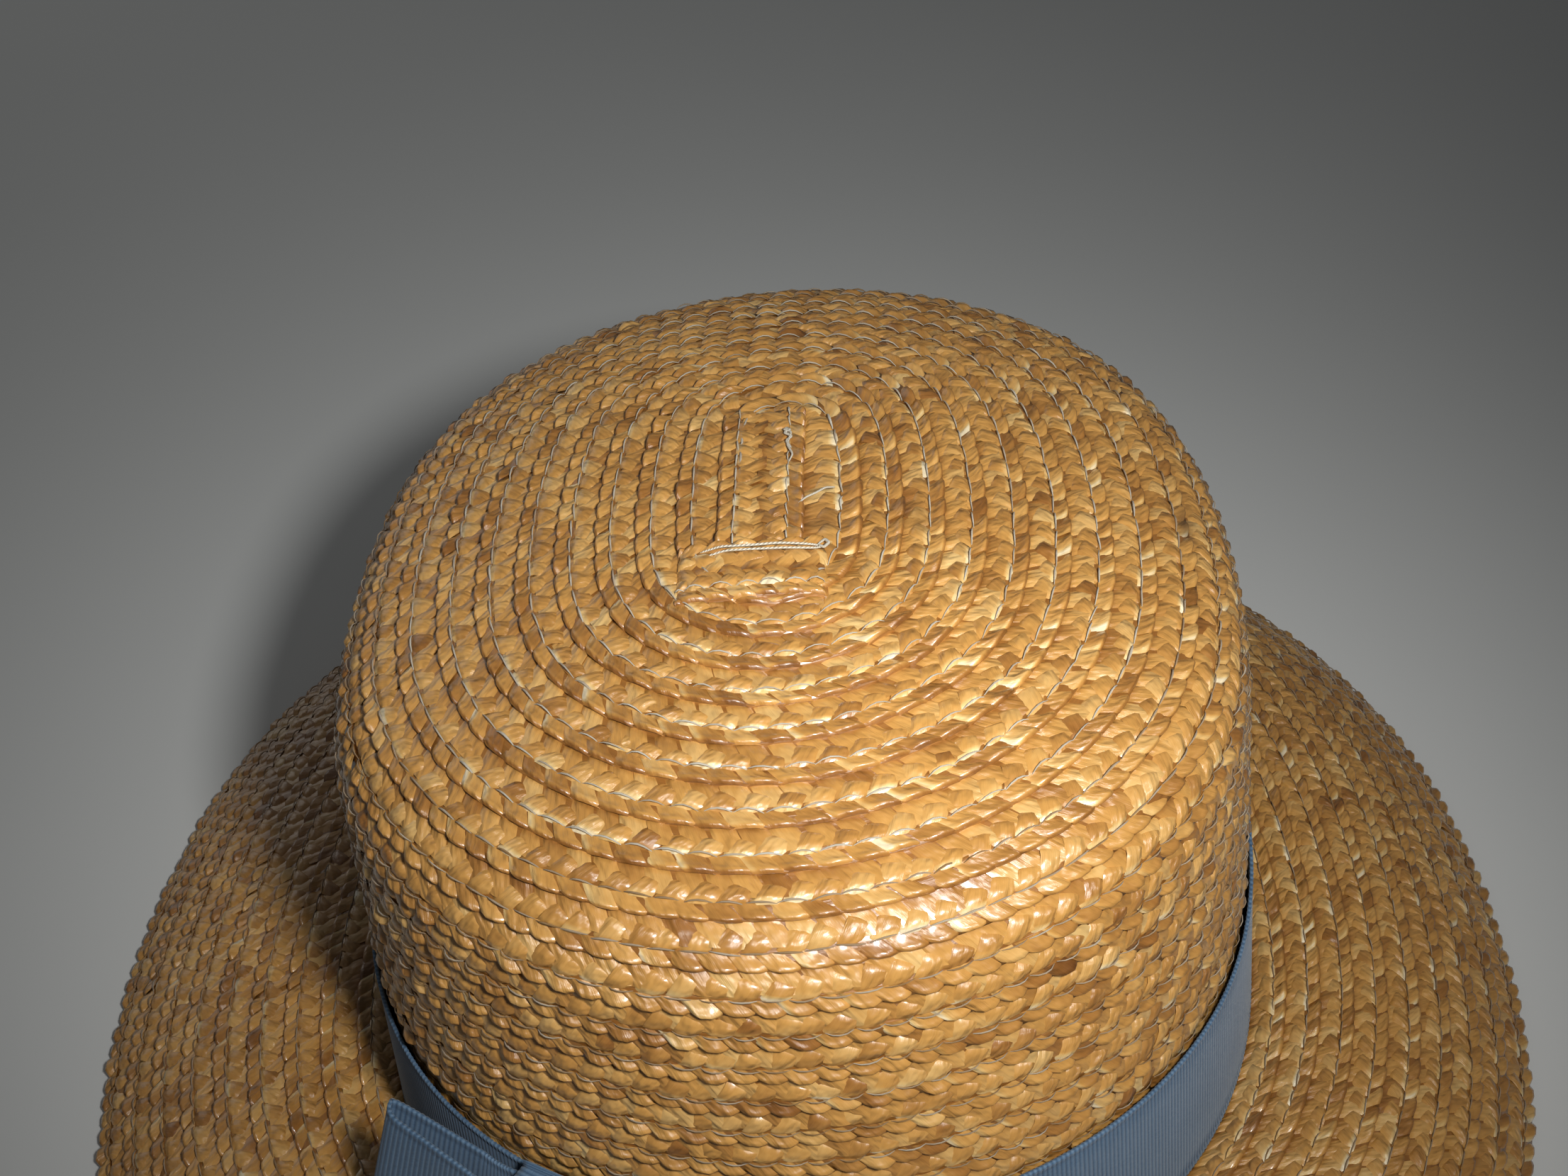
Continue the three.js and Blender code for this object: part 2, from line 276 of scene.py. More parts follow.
def ribbonMaterial(name):  # ribs are in the mesh, and the tint adds painted light on their crests and painted shade in their hollows and the edge grooves; this adds yarns, a soft fade and a little fluff
    look = ribbonLook
    plain = {
        "Sheen Weight": look["sheen"], "Sheen Roughness": look["sheenRoughness"],
        "Specular IOR Level": look["specular"],
    }
    material, flow, surface = newMaterial(name, plain)
    cloth = flow.add("ShaderNodeUVMap", {"uv_map": "straw"}, {})
    weave = flow.noise(cloth, look["yarnScale"], 2)
    rib = flow.add("ShaderNodeAttribute", {"attribute_name": "tint"}, {}, 2)
    body = flow.add("ShaderNodeTexCoord", {}, {}, 3)
    fade = flow.add("ShaderNodeTexNoise", {}, {"Vector": body, "Scale": look["fadeScale"], "Detail": 3})
    tone = rib * look["rib"] + weave * look["weave"] + fade * look["fade"]
    stops = [(0.15, look["deep"]), (0.55, look["slate"]), (0.95, look["faded"])]
    colour = flow.add("ShaderNodeValToRGB", {"stops": stops}, {0: tone})
    bump = {"Strength": 0.5, "Distance": look["weaveBump"], "Height": weave}
    relief = flow.add("ShaderNodeBump", {}, bump)
    wire(flow, surface, {
        "Base Color": colour, "Roughness": look["roughness"] + weave * 0.2, "Normal": relief,
    })
    return material


def unitPatch(columns, rows):  # a flat patch's corner places, from 0 to 1, and its faces
    bm = bmesh.new()
    bmesh.ops.create_grid(bm, x_segments=columns, y_segments=rows, size=0.5)
    bmesh.ops.reverse_faces(bm, faces=bm.faces[:])
    places = np.array([corner.co[:2] for corner in bm.verts])
    faces = np.array([[corner.index for corner in face.verts] for face in bm.faces])
    bm.free()
    places = (places - places.min(0)) / np.ptp(places, 0)
    return places[:, 0], places[:, 1], faces


floorGap = 0.0001  # the surface that the hat rests on presses the straws flat
mergeGap = 1e-6


def joinedPiece(name, parts, material, flip=False):
    # parts: lists of (places, faces, map, tint, wear), each with one row per repeat
    corners, faces, uv, tint, wear, count = [], [], [], [], [], 0
    for places, patch, across, shade, mark in parts:
        repeats, size = places.shape[:2]
        faces.append((patch[None] + size * np.arange(repeats)[:, None, None]).reshape(-1, 4) + count)
        corners.append(places.reshape(-1, 3))
        uv.append(np.broadcast_to(across, (repeats, size, 2)).reshape(-1, 2))
        tint.append(np.broadcast_to(shade, (repeats, size)).ravel())
        wear.append(np.broadcast_to(mark, (repeats, size)).ravel())
        count += repeats * size
    faces = np.concatenate(faces)
    if flip:
        faces = faces[:, ::-1]
    mesh = bpy.data.meshes.new(name)
    spots = toRow(np.concatenate(corners))
    spots[:, 2] = np.maximum(spots[:, 2], floorGap)
    mesh.from_pydata(spots.tolist(), [], faces.tolist())
    mesh.uv_layers.new(name="straw").data.foreach_set("uv", np.concatenate(uv)[faces.ravel()].ravel())
    for label, values in (("tint", tint), ("wear", wear)):
        held = mesh.attributes.new(label, "FLOAT", "POINT")
        held.data.foreach_set("value", np.concatenate(values).astype(np.float32))
    mesh.shade_smooth()
    return finished(name, mesh, material)


def finished(name, mesh, material):
    piece = bpy.data.objects.new(name, mesh)
    mesh.materials.append(material)
    bpy.context.scene.collection.objects.link(piece)
    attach(piece, "root")
    return piece


braid = {
    "pitch": 7.2, "threadAt": 0.63, "strawSlant": 2.9, "toothSlant": 2.3, "paintedGrooveShade": 0.36,
    "paintedGlint": (0.08, 0.45), "turnSteps": 40,
}

# in each of these, "wild" holds how far a measure strays from straw to straw
edgeStraw = {
    "from": -0.10, "reach": 0.62, "low": 0.30, "hump": 0.42, "round": 2.2, "twist": 0.10, "groove": 0.25,
    "tone": 0.62, "darkest": 0.12, "mapLength": 5,
    "wild": {"across": 0.012, "along": 0.16, "hump": 0.2, "tip": (0.26, 0.1), "lift": 0.05, "tone": 0.12},
}
cell = {
    "from": 0.07, "fan": 0.2, "over": 0.03, "wider": 1.02, "low": 0.20, "hump": 0.66, "round": 2.3,
    "arch": 0.3, "sink": 0.10, "diveRun": 0.3, "dive": 0.62, "flatter": 0.6, "pinchFrom": 0.66, "pinch": 0.6,
    "tone": 0.55, "darkest": 0.22, "paintedGlintFrom": 0.6, "paintedGlintRun": 0.25, "mapLength": 5,
    "wild": {"from": 0.035, "along": 0.18, "hump": 0.12, "tip": (0.34, 0.28), "lift": 0.05, "tone": 0.115},
}
tooth = {
    "under": 0.01, "point": 0.03, "wider": 1.02, "low": 0.40, "hump": 1.0, "round": 2.6, "flat": 0.3,
    "riseFrom": 0.35, "riseRun": 0.47, "rollFrom": 0.82, "roll": 0.85, "tone": 0.49, "darkest": 0.1,
    "paintedGlintAt": 0.1, "paintedGlintWide": 0.16, "mapLength": 4,
    "wild": {"point": 0.01, "along": 0.12, "hump": 0.18, "tip": 0.3, "lift": 0.05, "tone": 0.12},
}
stitch = {
    "radius": 0.145, "thin": 0.45, "round": 0.7, "offset": 0.016, "ends": 0.02, "bow": 0.03, "low": 0.30,
    "arch": 1.0, "span": 0.96, "mapWidth": 2.2, "mapLength": 1.6,
    "wild": {
        "radius": 0.12, "bow": 0.4, "skew": 0.03, "across": 0.006, "arch": 0.08, "lift": 0.05, "span": 0.05,
        "along": 0.14, "tone": 0.18,
    },
}


class Course:  # one run of braid: knows the place at a distance along it, a share across it and a lift
    def __init__(self, surface, first, last, closed=False):
        angles = np.linspace(first, last, int(abs(last - first) * braid["turnSteps"]) + 3)
        middle = surface(angles, 0.5, 0)
        run = np.concatenate([[0], np.cumsum(np.linalg.norm(np.diff(middle, axis=0), axis=1))])
        self.surface, self.angles, self.run, self.length = surface, angles, run, run[-1]
        self.closed = closed

    def place(self, distance, across, lift):
        if self.closed:
            turns = np.floor(distance / self.length)
            distance = distance - turns * self.length
            angle = np.interp(distance, self.run, self.angles) + turns * (self.angles[-1] - self.angles[0])
        else:
            angle = np.interp(distance, self.run, self.angles)
        return self.surface(angle, across, lift)


def straws(course, period, patchSizes, stitches=0, stain=None):  # stitches: how white the thread shows
    # cells, teeth and edge straws of a course, then its stitches; distances run clockwise from above
    count = max(int(round(course.length / period)), 1)
    period = course.length / count if course.closed else period
    at = (np.arange(count) + 0.5)[:, None] * period
    step, field = hat["step"], braid["threadAt"]
    wild = lambda size: rng.normal(0, size, (count, 1))
    paintedGlint = lambda: np.maximum(rng.normal(*braid["paintedGlint"], (count, 1)), 0)  # painted glint: a pale highlight added to the tint of some straws
    parts = []

    def put(patch, along, across, lift, width, tint, mapLength):
        places = course.place(at - along, across, lift)
        a, b, faces = patch
        shift = rng.uniform(0, 400, (count, 2))
        uv = np.stack([a * width + shift[:, :1], b * mapLength + shift[:, 1:]], -1)
        mark = stain(places) if stain else 0
        parts.append((places, faces, uv, tint, mark))

    # edge straws beside the inner groove, leaning the other way, with painted shade towards the groove
    cut, vary = edgeStraw, edgeStraw["wild"]
    a, b, faces = unitPatch(*patchSizes["edge"])
    across = cut["from"] + cut["reach"] * b + wild(vary["across"])
    along = (a - 0.5) * period - braid["strawSlant"] * (field - across) / field + wild(vary["along"])
    hump = cut["hump"] * (1 + wild(vary["hump"])) * (1 - np.abs(2 * a - 1) ** cut["round"])
    tip = wild(vary["tip"][0]) * (a - 0.5) + wild(vary["tip"][1]) * (b - 0.5)
    lift = step * across - cut["low"] + hump + cut["twist"] * (a - 0.5) + tip + wild(vary["lift"])
    # painted shade: the tint darkens where the edge straws run into the inner groove
    groove = np.clip(1 - (across - cut["from"]) / cut["groove"], 0, 1)
    shade = cut["tone"] + wild(vary["tone"]) - braid["paintedGrooveShade"] * groove
    put((a, b, faces), along, across, lift, period, np.clip(shade, cut["darkest"], 1), cut["mapLength"])

    # cells: slanted straws whose inner ends dive under the edge straws
    cut, vary = cell, cell["wild"]
    a, b, faces = unitPatch(*patchSizes["cell"])
    a, b = eased(a, [0, 0.08, 0.3, 0.7, 0.92, 1]), eased(b, [0, 0.08, 0.24, 0.62, 0.85, 1])
    first = cut["from"] + cut["fan"] * a + wild(vary["from"])
    across = first + (field + cut["over"] - first) * b
    slanted = braid["strawSlant"] * (field - across) / field
    along = (a - 0.5) * period * cut["wider"] + slanted + wild(vary["along"])
    hump = cut["hump"] * (1 + wild(vary["hump"])) * (1 - np.abs(2 * a - 1) ** cut["round"])
    tip = wild(vary["tip"][0]) * (a - 0.5) + wild(vary["tip"][1]) * (b - 0.5)
    dive = np.clip(1 - b / cut["diveRun"], 0, 1) ** 2
    pinch = np.clip((b - cut["pinchFrom"]) / (1 - cut["pinchFrom"]), 0, 1) ** 2
    low = cut["sink"] * b + cut["dive"] * dive + cut["pinch"] * pinch
    crest = hump * (1 - cut["flatter"] * dive) + cut["arch"] * b * (1 - b)
    lift = step * across - cut["low"] + crest + tip - low + wild(vary["lift"])
    shade = np.clip(cut["tone"] + wild(vary["tone"]), cut["darkest"], 1)
    # painted glint: pale highlights on the cells' ends towards the groove
    shade = shade + paintedGlint() * np.clip((b - cut["paintedGlintFrom"]) / cut["paintedGlintRun"], 0, 1)
    put((a, b, faces), along, across, lift, period, shade, cut["mapLength"])

    # teeth: the straws folded over at the outer edge, which stands proud as a bead
    cut, vary = tooth, tooth["wild"]
    a, b, faces = unitPatch(*patchSizes["tooth"])
    a, b = eased(a, [0, 0.1, 0.32, 0.68, 0.9, 1]), eased(b, [0, 0.4, 0.62, 0.8, 0.92, 1])
    point = cut["point"] * np.sin(math.pi * a) + wild(vary["point"])
    across = field - cut["under"] + (1 - field) * b + point * b
    slanted = braid["toothSlant"] * (1 - across) / (1 - field)
    along = (a - 0.5) * period * cut["wider"] - slanted + wild(vary["along"])
    rise = np.clip((b - cut["riseFrom"]) / cut["riseRun"], 0, 1)
    crest = cut["flat"] + (1 - cut["flat"]) * rise * rise * (3 - 2 * rise)
    bead = cut["hump"] * (1 + wild(vary["hump"])) * crest * (1 - np.abs(2 * a - 1) ** cut["round"])
    roll = np.clip((b - cut["rollFrom"]) / (1 - cut["rollFrom"]), 0, 1)
    tip = wild(vary["tip"]) * (a - 0.5)
    lift = step * across - cut["low"] + bead + tip - cut["roll"] * roll ** 2 + wild(vary["lift"])
    # painted shade: the tint darkens where the tooth rolls down into the groove
    shade = np.clip(cut["tone"] + wild(vary["tone"]) - braid["paintedGrooveShade"] * roll, cut["darkest"], 1)
    # painted glint: a pale highlight line along one side of some teeth
    shade = shade + paintedGlint() * np.exp(-((a - cut["paintedGlintAt"]) / cut["paintedGlintWide"]) ** 2) * (1 - roll)
    put((a, b, faces), along, across, lift, period, shade, cut["mapLength"])
    if not stitches:
        return parts, []

    # thread: one stitch to a period, arched over the bead
    strawParts, parts = parts, []
    cut, vary = stitch, stitch["wild"]
    a, b, faces = unitPatch(*patchSizes["stitch"])
    ring = 2 * math.pi * b
    arch = np.clip(np.sin(math.pi * np.clip(a, 0.01, 0.99)), 0, 1) ** cut["round"]
    radius = cut["radius"] * (cut["thin"] + (1 - cut["thin"]) * arch) * (1 + wild(vary["radius"]))
    bow = (cut["ends"] - cut["bow"] * np.sin(math.pi * a)) * (1 + wild(vary["bow"]))
    bow = bow + wild(vary["skew"]) * (a - 0.5)
    across = field - cut["offset"] + bow + radius * np.cos(ring) / braid["pitch"] + wild(vary["across"])
    rise = (cut["arch"] + wild(vary["arch"])) * arch
    lift = step * field - cut["low"] + rise + radius * np.sin(ring) + wild(vary["lift"])
    along = (a - 0.5) * period * (cut["span"] + wild(vary["span"])) + wild(vary["along"])
    tone = np.clip(stitches + wild(vary["tone"]), 0, 1)
    put((a, b, faces[:, ::-1]), along, across, lift, period * cut["mapWidth"], tone, cut["mapLength"])
    return strawParts, parts


def eased(values, stops):  # moves a patch's lines to these shares, closer where it bends more
    return np.interp(values, np.linspace(0, 1, len(stops)), stops)


bed = {  # the section across a row: shares of its width and heights
    "across": [-0.1, 0.35, 0.7, 0.985, 0.985], "lift": [-0.34, 0.0, 0.3, 0.45, -0.5],
    # tone: the bed's dark tint stands in for shade in the gaps between the straws, as painted shade
    "tone": 0.22, "mapLength": 0.4,
}


def rowBed(course, spacing):  # the braid's own body under the tiles, with its free outer edge
    bands = len(bed["across"]) - 1
    a, b, faces = unitPatch(int(course.length / spacing), bands)
    level = np.round(b * bands).astype(int)
    across, lift = np.array(bed["across"])[level], np.array(bed["lift"])[level]
    places = course.place((1 - a) * course.length, across, lift)
    uv = np.stack([across * braid["pitch"], a * course.length * bed["mapLength"]], -1)
    return places[None], faces, uv[None], bed["tone"], 0


# how far the first turn's outer edge lies from the middle on each side
outerEdges = {"near": 17.2, "left": 17.6, "far": 18.6, "right": 22.2}
crownRows = {
    "start": -1.5 * math.pi, "startWider": 2.6, "taper": 0.6, "tipEnd": 70, "sideEnd": 146,
    "tipPeriod": 5.0, "sidePeriod": 4.65, "bandAt": 134.5, "pressRun": 3, "press": 0.6,
    # tipWhite and sideWhite: how white the thread shows; the lower side value is painted shade
    "tipWhite": 0.85, "sideWhite": 0.3, "tipBed": 2, "sideBed": 3,
}


def spiralEdge(turned):  # the row's outer edge, as a length from the tip's middle
    table = [outerEdges[side] for side in ("near", "left", "far", "right")]
    whole = np.floor(turned / (2 * math.pi))
    quarter = (turned / (2 * math.pi) - whole) * 4
    return np.interp(quarter, range(5), [*table, table[0] + braid["pitch"]]) + whole * braid["pitch"]


def crownRow(turned, across, lift):
    rows = crownRows
    wide = braid["pitch"] + rows["startWider"] * np.clip(-turned / rows["taper"], 0, 1)
    length = spiralEdge(turned) - wide * (1 - across)
    pressed = np.clip((length - rows["bandAt"]) / rows["pressRun"], 0, 1)  # the ribbon holds the straws down
    return onCrown(length, -math.pi / 2 - turned, lift - rows["press"] * pressed * np.maximum(lift, 0))


def brimRow(row, rows):
    def surface(turned, across, lift):
        return onBrim((row + across) / rows, -math.pi / 2 - turned, lift)
    return surface


def under(surface):  # the same rows seen from below, where they overlap the other way
    return lambda turned, across, lift: surface(turned, 1 - across, -hat["wall"] - lift)


def tipHeight(x, y):  # how high the tip is over a place on the plan
    apart = np.hypot(x, np.maximum(np.abs(y) - hat["stripHalf"], 0))
    return hat["crownHeight"] - hat["tipFall"] * (apart / hat["tipRadius"]) ** 2


startCut = {"centre": -2.6, "half": 7.5, "far": 23, "near": -18.5, "over": 0.75, "period": 3.95}
turnCut = {"centre": -25.7, "half": 7.0, "left": -16.4, "right": 9.2, "over": 1.35, "period": 4.1}
cutEnd = {"fall": 1.3, "run": 0.5, "slope": 0.6, "white": 0.9, "bed": 1.2}


def endFall(along, first, last):  # a cut end bends down to what it lies on
    run = cutEnd["run"]
    return cutEnd["fall"] * (np.exp(-(along - first) / run) + np.exp(-(last - along) / run))


def startHalf(side):  # side 1 is the right half of the start strip, -1 the left
    def surface(along, across, lift):
        x = startCut["centre"] + side * startCut["half"] * across + 0 * along
        over = startCut["over"] - hat["step"] * across * cutEnd["slope"]
        over = over - endFall(along, startCut["near"], startCut["far"])
        return np.stack([x, along + 0 * x, tipHeight(x, along) + over + lift], -1)
    return surface


def turnHalf(side):  # side 1 is the near half of the turned piece, -1 the far half
    def surface(along, across, lift):
        y = turnCut["centre"] - side * turnCut["half"] * across + 0 * along
        over = turnCut["over"] - hat["step"] * across * cutEnd["slope"]
        over = over - endFall(-along, -turnCut["right"], -turnCut["left"])
        return np.stack([along + 0 * y, y, tipHeight(along, y) + over + lift], -1)
    return surface


def mirrored(parts):  # keeps the faces' outsides out where a surface is a mirror image
    return [(places, faces[:, ::-1], *rest) for places, faces, *rest in parts]


# the inner straw, for the crown's inside and the brim's underside, and the brim straw are darker copies:
# painted shade
strawGold, paintedShadeInnerStraw = strawMaterial("golden straw", 1), strawMaterial("inner straw painted shade", 0.9)
paintedShadeBrimStraw = strawMaterial("brim straw painted shade", 0.92)
thread, grosgrain = threadMaterial("cotton thread"), ribbonMaterial("blue grosgrain")

# how many faces each straw has across and along: most where the photo looks closest
fine = {"edge": (4, 3), "cell": (5, 5), "tooth": (5, 5), "stitch": (4, 4)}
medium = {"edge": (3, 3), "cell": (5, 5), "tooth": (5, 4), "stitch": (4, 4)}
coarse = {"edge": (1, 2), "cell": (3, 4), "tooth": (3, 4)}


def turnAt(edge):  # how far the spiral has turned when its outer edge comes to this length
    return 2 * math.pi * (edge - outerEdges["near"]) / braid["pitch"]


looseThreads = [  # places on the tip with the height over it, and the thread's radius
    ([(-12.4, -20.9, 1.5), (-9, -20.6, 2.2), (-4, -21.0, 2.3), (1, -20.8, 2.3), (6, -21.3, 2.2),
      (8.6, -21.2, 1.6)], 0.24),
    ([(-12.6, -22.4, 1.4), (-8, -21.8, 2.2), (-3, -22.1, 2.3), (2, -22.2, 2.3), (7, -22.3, 2.1),
      (9.0, -21.6, 1.9)], 0.22),
    ([(7.6, -21.0, 1.9), (8.8, -20.3, 2.4), (9.5, -21.4, 2.5), (8.6, -22.4, 2.3), (7.7, -21.6, 2.2)], 0.26),
    ([(0.9, 15.2, 1.2), (2.4, 14.2, 1.8), (1.2, 12.9, 1.9), (2.7, 11.8, 1.9), (1.6, 10.3, 1.9),
      (2.6, 8.2, 1.8)], 0.24),
    ([(1.7, 15.6, 1.3), (1.1, 13.8, 2.0), (2.6, 12.9, 2.1), (1.8, 9.2, 1.9), (2.9, 6.2, 1.8),
      (2.2, 4.6, 1.3)], 0.20),
    ([(3.9, -8.2, 1.1), (5.4, -7.4, 1.9), (7.2, -6.4, 2.1), (8.8, -4.9, 2.1), (10.4, -4.3, 1.7)], 0.20),
]
stains = [  # middle on the plan, the two half widths and how dark
    (22.3, -8.9, 1.7, 1.3, 0.75), (25.2, -12.8, 1.9, 1.5, 0.5), (8.8, -13.2, 2.6, 1.4, 0.5),
    (71.8, -2.0, 1.4, 4.6, 0.8),
]


strandCut = {"perPoint": 5, "sides": 7, "thin": 0.4, "mapLength": 0.5, "white": 0.95}


def strand(points, radius):  # a loose thread that lies on the tip and thins at its ends
    look, points = strandCut, np.array(points)
    columns = look["perPoint"] * len(points)
    spots = np.linspace(0, len(points) - 1, columns + 1)
    line = np.stack([np.interp(spots, range(len(points)), points[:, k]) for k in range(3)], -1)
    line[1:-1] = (line[:-2] + line[1:-1] + line[2:]) / 3
    line[:, 2] += tipHeight(line[:, 0], line[:, 1])
    ahead = np.gradient(line, axis=0)
    ahead /= np.linalg.norm(ahead, axis=1)[:, None]
    beside = np.cross(ahead, (0, 0, 1))
    rise = np.cross(beside, ahead)
    a, b, faces = unitPatch(columns, look["sides"])
    at = np.round(a * columns).astype(int)
    thick = (radius * (look["thin"] + (1 - look["thin"]) * np.sin(math.pi * a) ** 0.3))[:, None]
    ring = 2 * math.pi * b[:, None]
    places = line[at] + thick * (np.cos(ring) * beside[at] + np.sin(ring) * rise[at])
    uv = np.stack([a * columns * look["mapLength"], b], -1)
    return places[None], faces[:, ::-1], uv[None], look["white"], 0


def stained(places):  # how dark the stains make each place
    x, y = places[..., 0], places[..., 1]
    spots = (dark * np.exp(-((x - u) / w) ** 2 - ((y - v) / h) ** 2) for u, v, w, h, dark in stains)
    return np.clip(sum(spots), 0, 1)


tipCourse = Course(crownRow, crownRows["start"], turnAt(crownRows["tipEnd"]))
sideCourse = Course(crownRow, turnAt(crownRows["tipEnd"]), turnAt(crownRows["sideEnd"]))
tipStraws, tipStitches = straws(tipCourse, crownRows["tipPeriod"], fine, crownRows["tipWhite"], stained)
sideStraws, sideStitches = straws(sideCourse, crownRows["sidePeriod"], fine, crownRows["sideWhite"], stained)
startStraws, startStitches = [], [strand(points, radius) for points, radius in looseThreads]
for make, cut, first, last in ((startHalf, startCut, "near", "far"), (turnHalf, turnCut, "right", "left")):
    for side in (1, -1):
        course = Course(make(side), cut[first], cut[last])
        halfStraws, halfStitches = straws(course, cut["period"], fine, cutEnd["white"])
        halfStraws.append(rowBed(course, cutEnd["bed"]))
        turned = (make is startHalf) == (side == 1)
        startStraws += mirrored(halfStraws) if turned else halfStraws
        if make is turnHalf and side < 0:
            continue  # two straight strands lie along this edge instead
        startStitches += mirrored(halfStitches) if turned else halfStitches
joinedPiece("start_straws", startStraws, strawGold)
joinedPiece("start_stitches", startStitches, thread)
joinedPiece("tip_straws", tipStraws + [rowBed(tipCourse, crownRows["tipBed"])], strawGold)
joinedPiece("side_straws", sideStraws + [rowBed(sideCourse, crownRows["sideBed"])], strawGold)
joinedPiece("crown_stitches", tipStitches + sideStitches, thread)
print("crown braid sewn")

# white: the brim's thread is darkened as painted shade
brimRows = {"rows": 9, "period": 4.5, "white": 0.12, "bed": 4, "underBed": 5}
brimStraws, brimStitches, underStraws = [], [], []
for row in range(brimRows["rows"]):
    course = Course(brimRow(row, brimRows["rows"]), 0, 2 * math.pi, closed=True)
    rowStraws, rowStitches = straws(course, brimRows["period"], medium, brimRows["white"])
    brimStraws += rowStraws + [rowBed(course, brimRows["bed"])]
    brimStitches += rowStitches
    below = Course(under(brimRow(row, brimRows["rows"])), 0, 2 * math.pi, closed=True)
    underStraws += straws(below, brimRows["period"], coarse)[0] + [rowBed(below, brimRows["underBed"])]
joinedPiece("brim_straws", brimStraws, paintedShadeBrimStraw)
joinedPiece("brim_stitches", brimStitches, thread)
joinedPiece("brim_underside", underStraws, paintedShadeInnerStraw, flip=True)
print("brim braid sewn")

insideRows = {
    "first": 12, "last": 167, "period": 5.2, "ringLift": 0.25, "ringShort": 0.3, "bed": 4, "ringBed": 5,
}


def footRing(turned, across, lift):  # a closed row at the foot, where the spiral runs out
    length = crownLength - insideRows["ringShort"] - braid["pitch"] * (1 - across) + 0 * turned
    return onCrown(length, -math.pi / 2 - turned, lift + insideRows["ringLift"])


insideCourse = Course(under(crownRow), turnAt(insideRows["first"]), turnAt(insideRows["last"]))
ringCourse = Course(under(footRing), 0, 2 * math.pi, closed=True)
insideStraws = []
for course, bedSpacing in ((insideCourse, insideRows["bed"]), (ringCourse, insideRows["ringBed"])):
    insideStraws += straws(course, insideRows["period"], coarse)[0] + [rowBed(course, bedSpacing)]
joinedPiece("crown_inside", insideStraws, paintedShadeInnerStraw, flip=True)


coreCut = {
    "columns": 160, "under": 0.35, "wall": 0.9, "dark": (0.10, 0.045, 0.014), "light": (0.24, 0.125, 0.04),
    "tipLines": 16, "cornerFrom": 72, "cornerTo": 88, "cornerLines": 7, "wallFrom": 95, "wallLines": 9,
    "brimFrom": -0.068, "brimTo": 0.985, "brimLines": 15,
}


def core(name, surface, lengths, node, material):  # closed wall under the braid, for a node
    bm = bmesh.new()
    bmesh.ops.create_grid(bm, x_segments=coreCut["columns"], y_segments=len(lengths) - 1, size=0.5)
    places = np.array([corner.co[:2] for corner in bm.verts]) + 0.5
    places = (places - places.min(0)) / np.ptp(places, 0)
    length = np.interp(places[:, 1], np.linspace(0, 1, len(lengths)), lengths)
    spots = toRow(surface(length, 2 * math.pi * places[:, 0], np.full(len(length), -coreCut["under"])))
    for corner, spot in zip(bm.verts, spots):
        corner.co = spot
    bmesh.ops.remove_doubles(bm, verts=bm.verts[:], dist=mergeGap)
    bmesh.ops.recalc_face_normals(bm, faces=bm.faces[:])
    bmesh.ops.solidify(bm, geom=bm.faces[:], thickness=coreCut["wall"] / 1000)
    mesh = bpy.data.meshes.new(name)
    bm.to_mesh(mesh)
    bm.free()
    mesh.shade_smooth()
    piece = finished(name, mesh, material)
    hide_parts(node)


def coreMaterial(name):
    material, flow, surface = newMaterial(name, {"Roughness": 0.7})
    body = flow.add("ShaderNodeTexCoord", {}, {}, 3)
    cloud = flow.add("ShaderNodeTexNoise", {}, {"Vector": body, "Scale": 300, "Detail": 3})
    wire(flow, surface, {"Base Color": cloud.mix((*coreCut["dark"], 1), (*coreCut["light"], 1))})
    return material


strawCore = coreMaterial("shaded straw")
tipLines = np.linspace(0, hat["tipRadius"], coreCut["tipLines"])
cornerLines = np.linspace(coreCut["cornerFrom"], coreCut["cornerTo"], coreCut["cornerLines"])
wallLines = np.linspace(coreCut["wallFrom"], crownLength - insideRows["ringShort"], coreCut["wallLines"])
brimLines = np.linspace(coreCut["brimFrom"], coreCut["brimTo"], coreCut["brimLines"])
core("crown_core", onCrown, np.concatenate([tipLines, cornerLines, wallLines]), "crown", strawCore)
core("brim_core", onBrim, brimLines, "brim", strawCore)
print("walls closed")

ribbonCut = {"thick": 0.6, "grooveAt": 1.3, "grooveWide": 0.35, "beadWide": 0.9}
bandCut = {  # the lines lie at heights over the lower edge, the top ones below the upper edge
    "height": 31.8, "girth": 603, "ribs": 590, "rib": 0.07, "bead": 0.08, "dent": 0.12, "middle": 0.5,
    "edgeLines": [0, 0.5, 1.3], "middleLines": [4, 9, 15, 21, 27], "topLines": [1.7, 1.2, 0.5, 0],
}


def edgeGroove(edge):  # the share of the groove's full depth at this distance from the ribbon's edge
    return np.exp(-((edge - ribbonCut["grooveAt"]) / ribbonCut["grooveWide"]) ** 2)


